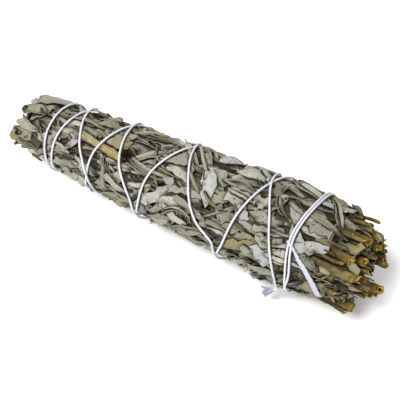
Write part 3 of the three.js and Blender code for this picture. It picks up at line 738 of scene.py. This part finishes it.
TRENCHES = [
    ((-57, 23), (-29.5, 35), 2.8, 3.2), ((-29, 22), (-26, 23), 1.8, 5),
    ((78, 49), (100, 57), 2.6, 3),
]  # from, to, half width and depth of the hollows in which bare stems show

bed_x = np.arange(BED_START, BED_END, BED_CELL)
bed_angle = np.arange(BED_ANGLES) * 360 / BED_ANGLES
bed = np.zeros((len(bed_x), BED_ANGLES))


def string_x(wound):
    """How far along the bunch the string is, once it has wound this many degrees."""
    return smooth_through(STRING_KEYS, wound)


def string_distance(x, angle):
    """How far along X the nearest turn of string is."""
    nearest = np.full(np.broadcast(x, angle).shape, 999.0)
    first, last = STRING_KEYS[0][0], STRING_KEYS[-1][0]
    for turn in range(int(last // 360) + 1):
        wound = np.mod(angle, 360) + 360 * turn
        apart = np.abs(x - string_x(wound))
        nearest = np.where((wound >= first) & (wound <= last), np.minimum(nearest, apart), nearest)
    return nearest


def cells(x, angle):
    """The row and column of the bed's cell at each place."""
    row = np.clip(np.rint((x - BED_START) / BED_CELL).astype(int), 0, len(bed_x) - 1)
    return row, np.rint(angle * BED_ANGLES / 360).astype(int) % BED_ANGLES


def spread_out(grid, size, pick):
    """Each cell takes the mean or the highest of the cells around it."""
    for axis, wraps in ((0, False), (1, True)):
        shifted = [np.roll(grid, step, axis) for step in range(-size, size + 1)]
        if not wraps:
            for step, copy in zip(range(-size, size + 1), shifted):
                if step > 0:
                    copy[:step] = grid[:1]
                if step < 0:
                    copy[step:] = grid[-1:]
        grid = pick(shifted, axis=0)
    return grid


def between_cells(grid, x, angle):
    """The grid's value at any place, evened out between its cells."""
    row = np.clip((x - BED_START) / BED_CELL, 0, len(bed_x) - 1.001)
    column = np.mod(angle * BED_ANGLES / 360, BED_ANGLES)
    i, j = row.astype(int), column.astype(int) % BED_ANGLES
    a, b = row - i, column - column.astype(int)
    k = (j + 1) % BED_ANGLES
    low = grid[i, j] * (1 - b) + grid[i, k] * b
    return low * (1 - a) + (grid[i + 1, j] * (1 - b) + grid[i + 1, k] * b) * a


def lay(leaf):
    """Rests the leaf on what lies there already, tilted as that tilts it, and raises the bed."""
    s, v = np.linspace(0, 1, 40), np.linspace(-1, 1, 14)
    along, lateral, height = leaf_form(leaf, s, v)
    x, angle = leaf_place(leaf, along, lateral)
    row, column = cells(x, angle)
    below = bed[row, column]
    slope = ((below - below.mean(axis=1, keepdims=True)) * v).sum(axis=1) / (v * v).sum()
    twist = math.radians(leaf["twist"]) * leaf["width"] / 2
    most = MOST_TILT * leaf["width"]
    slope = np.clip(softened(slope, 10), -most, most) + twist * (s - 0.5)
    shape = height + slope[:, None] * v
    rest = (below - shape).max(axis=1)
    rest = softened(np.maximum(softened(rest, 30), rest - 1.0), STIFFNESS)
    leaf["slope"] = slope
    leaf["rest"] = rest
    top = rest[:, None] + np.minimum(shape, MOST_PROP) + LEAF_THICKNESS + LEAF_SPACE
    np.maximum.at(bed, (row, column), top)


def outer_leaves():
    """The loose outer leaves in the order they were laid. They end at the tips and at the butt."""
    draw = random.Random(14)
    leaves = []
    for _ in range(OUTER_LEAVES):
        leaf = drawn_leaf(draw, angle=draw.uniform(0, 360))
        middle = draw.uniform(-94, 94)
        if draw.random() < CROSSWISE_CHANCE:
            leaf["yaw"] = draw.uniform(-85, 85)
            leaf["length"] = min(leaf["length"], draw.uniform(9, 22))
        reach = leaf["length"] / 2 * math.cos(math.radians(leaf["yaw"]))
        low, high = draw.uniform(-100, -90), draw.uniform(88, 102) - 12 * shortness(leaf["angle"])
        middle = min(max(middle, low + reach), high - reach)
        if middle - reach < -86:
            leaf["towards"] = -1
        leaf["x"] = middle - leaf["towards"] * reach
        leaf["order"] = middle + draw.uniform(-ORDER_SPREAD, ORDER_SPREAD)
        if middle - reach < -92 and leaf["towards"] < 0:
            leaf["point"] = draw.uniform(0.35, 0.9)
            leaf["curl"] = draw.choice([-1, 1]) * draw.uniform(30, 130)
        if middle + reach > DRIED_BUTT:
            leaf["dry"] = max(leaf["dry"], draw.uniform(0.2, 1))
            leaf["pale"] = 0
        leaves.append(leaf)
    return sorted(leaves, key=lambda leaf: leaf["order"])


def curled_leaves():
    """A few leaves that have curled up out of the bunch, mostly at its tips."""
    draw = random.Random(23)
    return [
        drawn_leaf(
            draw, x=-74, angle=-32, towards=-1, yaw=20, bend=10, length=28, width=9, curl=-150, rise=6,
            rolls=[(0, 60), (0, 40)], point=0.85, slant=0.1, pale=0, dry=0.15, tone=0.4),
        drawn_leaf(
            draw, x=-82, angle=12, towards=-1, yaw=20, bend=60, length=17, width=8, curl=110, rise=2.5,
            rolls=[(0, 60), (0, 80)], point=0.6, pale=0, dry=0.3, tone=0.4),
        drawn_leaf(
            draw, x=-82, angle=48, towards=-1, yaw=-14, bend=-40, length=19, width=8, curl=-100, rise=2,
            rolls=[(0, 80), (0, 60)], point=0.6, pale=0, dry=0.1, tone=0.6),
        drawn_leaf(
            draw, x=-80, angle=66, towards=-1, yaw=8, bend=20, length=21, width=7, curl=150, rise=1.5,
            rolls=[(0, 40), (0, 80)], point=0.7, pale=0, dry=0.5, tone=0.5),
        drawn_leaf(
            draw, x=-80, angle=92, towards=-1, yaw=12, bend=40, length=19, width=7, curl=80, rise=1.5,
            rolls=[(0, 80), (0, 160)], point=0.5, pale=0.2, dry=0, tone=0.7),
        drawn_leaf(
            draw, x=18, angle=76, towards=-1, yaw=5, bend=150, length=20, width=3.4, curl=0, rise=0.8,
            rolls=[(0, 150), (0, 150)], point=0.5, pale=0, dry=0.1, tone=1),
        drawn_leaf(
            draw, x=20, angle=30, towards=1, yaw=20, bend=-70, length=14, width=1.8, curl=0, rise=0.3,
            rolls=[(0, -90), (0, -90)], point=0.6, pale=0, dry=1, tone=0.9),
    ]


leaves = outer_leaves() + curled_leaves()
for leaf in leaves:
    lay(leaf)

# The bed is now the pile as it was laid. The string then pulls its top down to this surface.
crest = spread_out(spread_out(bed, 4, np.max), 5, np.mean)
cover = spread_out(bed, 2, np.max)
free = smoothstep(string_distance(bed_x[:, None], bed_angle[None]), *STRING_HOLD)
lumps = np.random.default_rng(5).normal(size=bed.shape)
lumps = spread_out(spread_out(lumps, 7, np.mean), 6, np.mean)
lumps = lumps / lumps.std() * LUMPS
underneath = smoothstep(-np.cos(np.radians(bed_angle)), 0.85, 1.0)[None]
surface = HELD_RISE + free * (FREE_RISE + lumps + SAG * underneath)
dip = (BUTT_DIP * shortness(bed_angle) - BUTT_SPRING)[None]
surface -= dip * smoothstep(bed_x, BUTT_START, BUTT_END)[:, None]
for (from_x, from_angle), (to_x, to_angle), half_width, deep in TRENCHES:
    share = np.clip((bed_x - from_x) / (to_x - from_x), 0, 1)[:, None]
    off_angle = (bed_angle[None] - from_angle - (to_angle - from_angle) * share + 180) % 360 - 180
    off = np.hypot(
        np.radians(off_angle) * skin_radius(bed_x)[:, None],
        bed_x[:, None] - from_x - (to_x - from_x) * share)
    surface -= deep * (1 - smoothstep(off, half_width * 0.5, half_width + 1.5))


def pressed(x, angle, height):
    """mm above the skin, once the string has pulled the leaves in."""
    below = between_cells(crest, x, angle) - height
    room = PILE_DEPTH - CLOSE_DEPTH
    deeper = np.maximum(below - CLOSE_DEPTH, 0)
    sunk = np.where(below > CLOSE_DEPTH, CLOSE_DEPTH + room * (1 - np.exp(-deeper / room)), below)
    proud = -TIP_RISE * (1 - np.exp(np.minimum(below, 0) / TIP_RISE))
    sunk = np.where(below < 0, proud, sunk)
    eased = HELD_SHARE + (1 - HELD_SHARE) * between_cells(free, x, angle)
    above = between_cells(surface, x, angle) - PRESSED_SHARE * sunk * eased
    over_table = place(x, angle, 0)[..., 2] - TABLE_GAP
    facing_down = np.maximum(-np.cos(np.radians(angle)), 0.05) * HEIGHT_SHARE
    return np.minimum(above, over_table / facing_down)


pieces = [leaf_bmesh() for _ in range(OUTER_SPRIGS)]
for leaf in leaves:
    s = np.linspace(0, 1, LEAF_ROWS)
    along, lateral, height = leaf_form(leaf, s, ACROSS)
    x, angle = leaf_place(leaf, along, lateral)
    fine = np.linspace(0, 1, len(leaf["rest"]))
    rest = np.interp(s, fine, leaf["rest"])[:, None]
    slope = np.interp(s, fine, leaf["slope"])[:, None]
    own_form = height + np.array(leaf["creases"])
    height = rest + slope * ACROSS + own_form
    above = pressed(x, angle, height)
    # Painted shade: the blade is darkened where other blades cover it, and the deeper it lies under the
    # skin.
    buried = between_cells(cover, x, angle) - height
    painted_shade = 0.85 * smoothstep(buried, 2.6, 5.5) + 0.4 * smoothstep(-above, 3, 7)
    if leaf["rise"]:  # it stands free of the pile, so only its seat is pressed
        above = pressed(x, angle, rest + slope * ACROSS) + own_form + leaf["rise"] * s[:, None] ** 2
        painted_shade = np.zeros_like(above)
    # The blade goes to the leafy stem that its middle lies over.
    middle_x, middle_angle = float(x.mean()), float(angle.mean())
    borders = [
        (middle_angle - float(border_angle(OUTER_SPRIGS, i, middle_x))) % 360
        for i in range(OUTER_SPRIGS)]
    bm, layers = pieces[int(np.argmin(borders))]
    add_leaf(bm, layers, leaf, x, angle, above, np.minimum(painted_shade, 1))

for sprig, (bm, layers) in enumerate(pieces, 1):
    add_leaf_piece(f"leaves_outer_{sprig}_blades", bm, f"leaves_outer_{sprig}")

# ------------------------------------------------------------------ string
# One white cotton string, three plies twisted together, wound from the butt to the tips and back
# over itself. One end is laid under the first turns, and the other is knotted and frayed.

STRING_RADIUS = 0.57
STRING_TURN = 2580  # degrees wound where it turns back at the tips
STRING_SIT = 0.45  # its centre over the skin
STRING_RINGS = 1900
CROSSING_LIFT = 0.8
CROSSING_SINK = 0.25
CROSSING_REACH = 4.5  # the hump starts this far along X from the strand below
STRING_SIDES = 12
LAY = 7  # mm along the string for one full twist of its plies
PLY_RADIUS = 0.355
STARTING_RISE = 1.7  # from under the turns, where it is held, to where it lies on the leaves
STARTING_END = [(66.5, 44), (71.5, 51), (75, 57), (78, 62), (81, 69), (84.5, 78), (88, 92)]
KNOT = {"x": 66.5, "angle": 125, "loop": 1.2}
FINISHING_END = [(66.5, 125, 0.4), (65.5, 126, 1.4), (64, 127, 2.2)]
BRUSH_FIBRES, BRUSH_FIBRE = 70, 0.32  # how many, and mm thick
STRAY_FIBRES, STRAY_FIBRE = 260, 0.08


def crossing_lift(wound):
    """On its way back the string rides over each strand that it crosses, in a long low hump."""
    x = string_x(wound)
    returning = wound > STRING_TURN
    nearest = np.full(len(wound), 999.0)
    most_turns = STRING_KEYS[-1][0] // 360
    for turns in range(-most_turns, most_turns + 1):
        other = wound - 360 * turns
        apart = np.abs(x - string_x(other))
        crosses = (other > STRING_KEYS[0][0]) & (other < STRING_KEYS[-1][0])
        crosses &= (other < STRING_TURN) == returning
        nearest = np.where(crosses, np.minimum(nearest, apart), nearest)
    near = 1 - smoothstep(nearest, 2 * STRING_RADIUS, CROSSING_REACH)
    return np.where(returning, CROSSING_LIFT * near, -CROSSING_SINK * near)


def ply_reach(around):
    """How far the three plies reach from the string's middle, in this direction."""
    middle = STRING_RADIUS - PLY_RADIUS
    off = np.mod(around, 2 * np.pi / 3) - np.pi / 3
    return middle * np.cos(off) + np.sqrt(PLY_RADIUS**2 - (middle * np.sin(off)) ** 2)


def add_string(bm, path, outward, flatness=0, loosened=0):
    """The three plies along a path. Its end may be pressed flat and come untwisted."""
    lengths = np.linalg.norm(np.diff(path, axis=0), axis=1)
    twist = 2 * np.pi * np.concatenate([[0], np.cumsum(lengths)]) / LAY
    around = np.linspace(0, 2 * np.pi, STRING_SIDES, endpoint=False)[None]
    reach = ply_reach(around + twist[:, None])
    wider = (1 + flatness + loosened * np.linspace(0, 1, len(path)))[:, None]
    section = np.stack([reach * np.cos(around) / wider, reach * np.sin(around) * wider], axis=-1)
    add_tube(bm, path, outward, section)


def loosen(bm, tight_faces):
    """Makes all that was added since then of untwisted cotton."""
    for face in list(bm.faces)[tight_faces:]:
        face.material_index = 1


bm = new_bmesh()
wound = np.linspace(STRING_KEYS[0][0], STRING_KEYS[-1][0], STRING_RINGS)
x, above = string_x(wound), STRING_SIT + crossing_lift(wound)
add_string(bm, place(x, wound, above), upright(x, wound))
turns_x, turns_wound, turns_above = x, wound, above
t = np.linspace(0, len(STARTING_END) - 1, 60)
x, angle = (smooth_through(list(enumerate(column)), t) for column in zip(*STARTING_END))
tight_faces = len(bm.faces)
above = STRING_SIT - 0.3 + STARTING_RISE * smoothstep(t, 0.6, 2.2)
add_string(bm, place(x, angle, above), upright(x, angle), flatness=0.1, loosened=2)
loosen(bm, tight_faces)
t = np.linspace(0, len(FINISHING_END) - 1, 12)
x, angle, out = (smooth_through(list(enumerate(column)), t) for column in zip(*FINISHING_END))
add_string(bm, place(x, angle, STRING_SIT + out), upright(x, angle))
turn = np.linspace(0, 4 * np.pi, 60)
loop = KNOT["loop"] * (1 + 0.45 * np.cos(1.5 * turn))
x = KNOT["x"] + loop * np.cos(turn)
angle = KNOT["angle"] + np.degrees(loop * np.sin(turn) / skin_radius(KNOT["x"]))
add_string(bm, place(x, angle, STRING_SIT + 0.5 + 0.5 * np.sin(1.5 * turn)), upright(x, angle))


def add_fibre(bm, path, outward, thickness):
    """One fibre of the cotton, four-sided, as a thin tube along its path."""
    around = np.linspace(0, 2 * np.pi, 4, endpoint=False)[None]
    size = thickness / 2 * np.ones((len(path), 1))
    add_tube(bm, path, outward, np.stack([size * np.cos(around), size * np.sin(around)], axis=-1))


# The frayed end's fibres are drawn as thick as fine yarn, so that they show.
draw = random.Random(21)
tight_faces = len(bm.faces)
last_x, last_angle, last_out = FINISHING_END[-1]
for _ in range(BRUSH_FIBRES):
    t = np.linspace(0, 1, 7)
    spread_x, spread_angle = draw.uniform(-1, 1), draw.uniform(-1, 1)
    wavy = 0.3 * np.sin(5 * t + draw.uniform(0, 6))
    x = last_x + 1 - t * draw.uniform(3.5, 5.5) + spread_x * t * 1.5 + wavy
    angle = last_angle + (0.8 + 3 * t) * spread_angle
    out = STRING_SIT + last_out - 0.5 + 3.4 * t + spread_x * (0.3 + 2 * t)
    add_fibre(bm, place(x, angle, out), upright(x, angle), BRUSH_FIBRE)
loosen(bm, tight_faces)
for _ in range(STRAY_FIBRES):
    i = draw.randrange(len(turns_wound))
    t = np.linspace(0, 1, 4)
    reach, heading = draw.uniform(0.8, 1.6), draw.uniform(0, 6.3)
    x = turns_x[i] + reach * t * math.cos(heading)
    angle = turns_wound[i] + np.degrees(reach * t * math.sin(heading) / skin_radius(turns_x[i]))
    out = turns_above[i] + STRING_RADIUS * 0.7 + draw.uniform(0, 0.5) * t
    add_fibre(bm, place(x, angle, out), upright(x, angle), STRAY_FIBRE)
bmesh.ops.recalc_face_normals(bm, faces=bm.faces)
for face in bm.faces:
    face.smooth = True

# White cotton string: soft and matt. Its fluff is drawn coarser than it is, so that it shows.
cotton = new_material(
    "Twisted white cotton", Roughness=0.9, Specular_IOR_Level=0.2, Sheen_Weight=0.3, Sheen_Roughness=0.5)
where = add_node(cotton, "TexCoord", {})["Object"]
fluff = add_node(cotton, "TexNoise", {"Vector": where, "Scale": 1 / (0.35 * MM), "Detail": 3})["Fac"]
whites = {SHARE: fluff, FIRST: linear("#bfbfc4"), SECOND: linear("#a5a6ae")}
ground = add_node(cotton, "Mix", whites, data_type="RGBA")[MIXED]
bump = add_node(cotton, "Bump", {"Height": fluff, "Strength": 0.5, "Distance": 0.1 * MM})["Normal"]
link_surface(cotton, Base_Color=ground, Normal=bump)

# The end that has come untwisted is a flat ribbon of loose fibres, faintly blue.
loose_cotton = new_material("Untwisted white cotton", Roughness=0.95, Specular_IOR_Level=0.15)
uv = add_node(loose_cotton, "UVMap", {})["UV"]
fibres_at = add_node(loose_cotton, "Mapping", {"Vector": uv, "Scale": (4, 30, 1)})["Vector"]
fibres = add_node(loose_cotton, "TexNoise", {"Vector": fibres_at, "Scale": 1, "Detail": 3})["Fac"]
whites = {SHARE: fibres, FIRST: linear("#aeb0bd"), SECOND: linear("#888a97")}
ground = add_node(loose_cotton, "Mix", whites, data_type="RGBA")[MIXED]
link_surface(loose_cotton, Base_Color=ground)
add_piece("string_cotton", bm, [cotton, loose_cotton], "string")

# ------------------------------------------------------------------ table, light and camera
# A plain pale table in an evenly lit pale room, with one soft panel of light over the front of the
# bunch, and a view down on it from in front of its cut end.

TABLE_SIDE = 3000
ROOM_LIGHT = 0.74
PANEL = {"at": (-120, -420, 690), "aim": (0, 0, 20), "side": 400, "watts": 10.5}

bm = new_bmesh()
edges = (-TABLE_SIDE / 2, TABLE_SIDE / 2)
add_sheet(bm, np.array([[(x, y, 0) for y in edges] for x in edges]))
mesh = bpy.data.meshes.new("table_top")
bm.to_mesh(mesh)
bm.free()
table = bpy.data.objects.new("table_top", mesh)
bpy.context.scene.collection.objects.link(table)
# Matt white paint: almost without gloss, and very slightly uneven.
matt_white = new_material("Matt white paint", Roughness=0.9, Specular_IOR_Level=0.1)
where = add_node(matt_white, "TexCoord", {})["Object"]
grain = add_node(matt_white, "TexNoise", {"Vector": where, "Scale": 1 / (2 * MM)})["Fac"]
whites = {SHARE: grain, FIRST: linear("#fdfdfd"), SECOND: linear("#f8f8f8")}
link_surface(matt_white, Base_Color=add_node(matt_white, "Mix", whites, data_type="RGBA")[MIXED])
mesh.materials.append(matt_white)


def look_at(thing, at, aim):
    """Puts a lamp or the camera in place, looking at its aim with its top upwards."""
    at, aim = np.array(at, float) * MM, np.array(aim, float) * MM
    back = (at - aim) / np.linalg.norm(at - aim)
    right = np.cross((0, 0, 1), back)
    right /= np.linalg.norm(right)
    up = np.cross(back, right)
    turned = np.eye(4)
    turned[:3, :3] = np.array([right, up, back]).T
    turned[:3, 3] = at
    thing.matrix_world = Matrix(turned.tolist())


light = bpy.data.lights.new("Key panel", "AREA")
light.shape = "SQUARE"
light.size = PANEL["side"] * MM
light.energy = PANEL["watts"]
lamp = bpy.data.objects.new("Key panel", light)
bpy.context.scene.collection.objects.link(lamp)
look_at(lamp, PANEL["at"], PANEL["aim"])

world = bpy.data.worlds.new("Pale room")
world.use_nodes = True
world.node_tree.nodes["Background"].inputs["Color"].default_value = (1, 1, 1, 1)
world.node_tree.nodes["Background"].inputs["Strength"].default_value = ROOM_LIGHT
bpy.context.scene.world = world
bpy.context.scene.view_settings.view_transform = "Standard"

AZIMUTH, ELEVATION = 32.3, 48  # degrees
DISTANCE = 441
LENS, SENSOR = 80, 36  # mm
TARGET = (-MIDDLE, 0, 25)
FRAMED = (8.23, -7.2)  # mm to the right of the target and above it, at the middle of the view
azimuth, elevation = math.radians(AZIMUTH), math.radians(ELEVATION)
back = np.array([
    math.sin(azimuth) * math.cos(elevation), -math.cos(azimuth) * math.cos(elevation),
    math.sin(elevation)])
right = np.array([math.cos(azimuth), math.sin(azimuth), 0])
aim = np.array(TARGET) + FRAMED[0] * right + FRAMED[1] * np.cross(back, right)
camera = bpy.data.objects.new("Camera", bpy.data.cameras.new("Camera"))
camera.data.lens = LENS
camera.data.sensor_width = SENSOR
bpy.context.scene.collection.objects.link(camera)
look_at(camera, aim + DISTANCE * back, aim)
bpy.context.scene.camera = camera
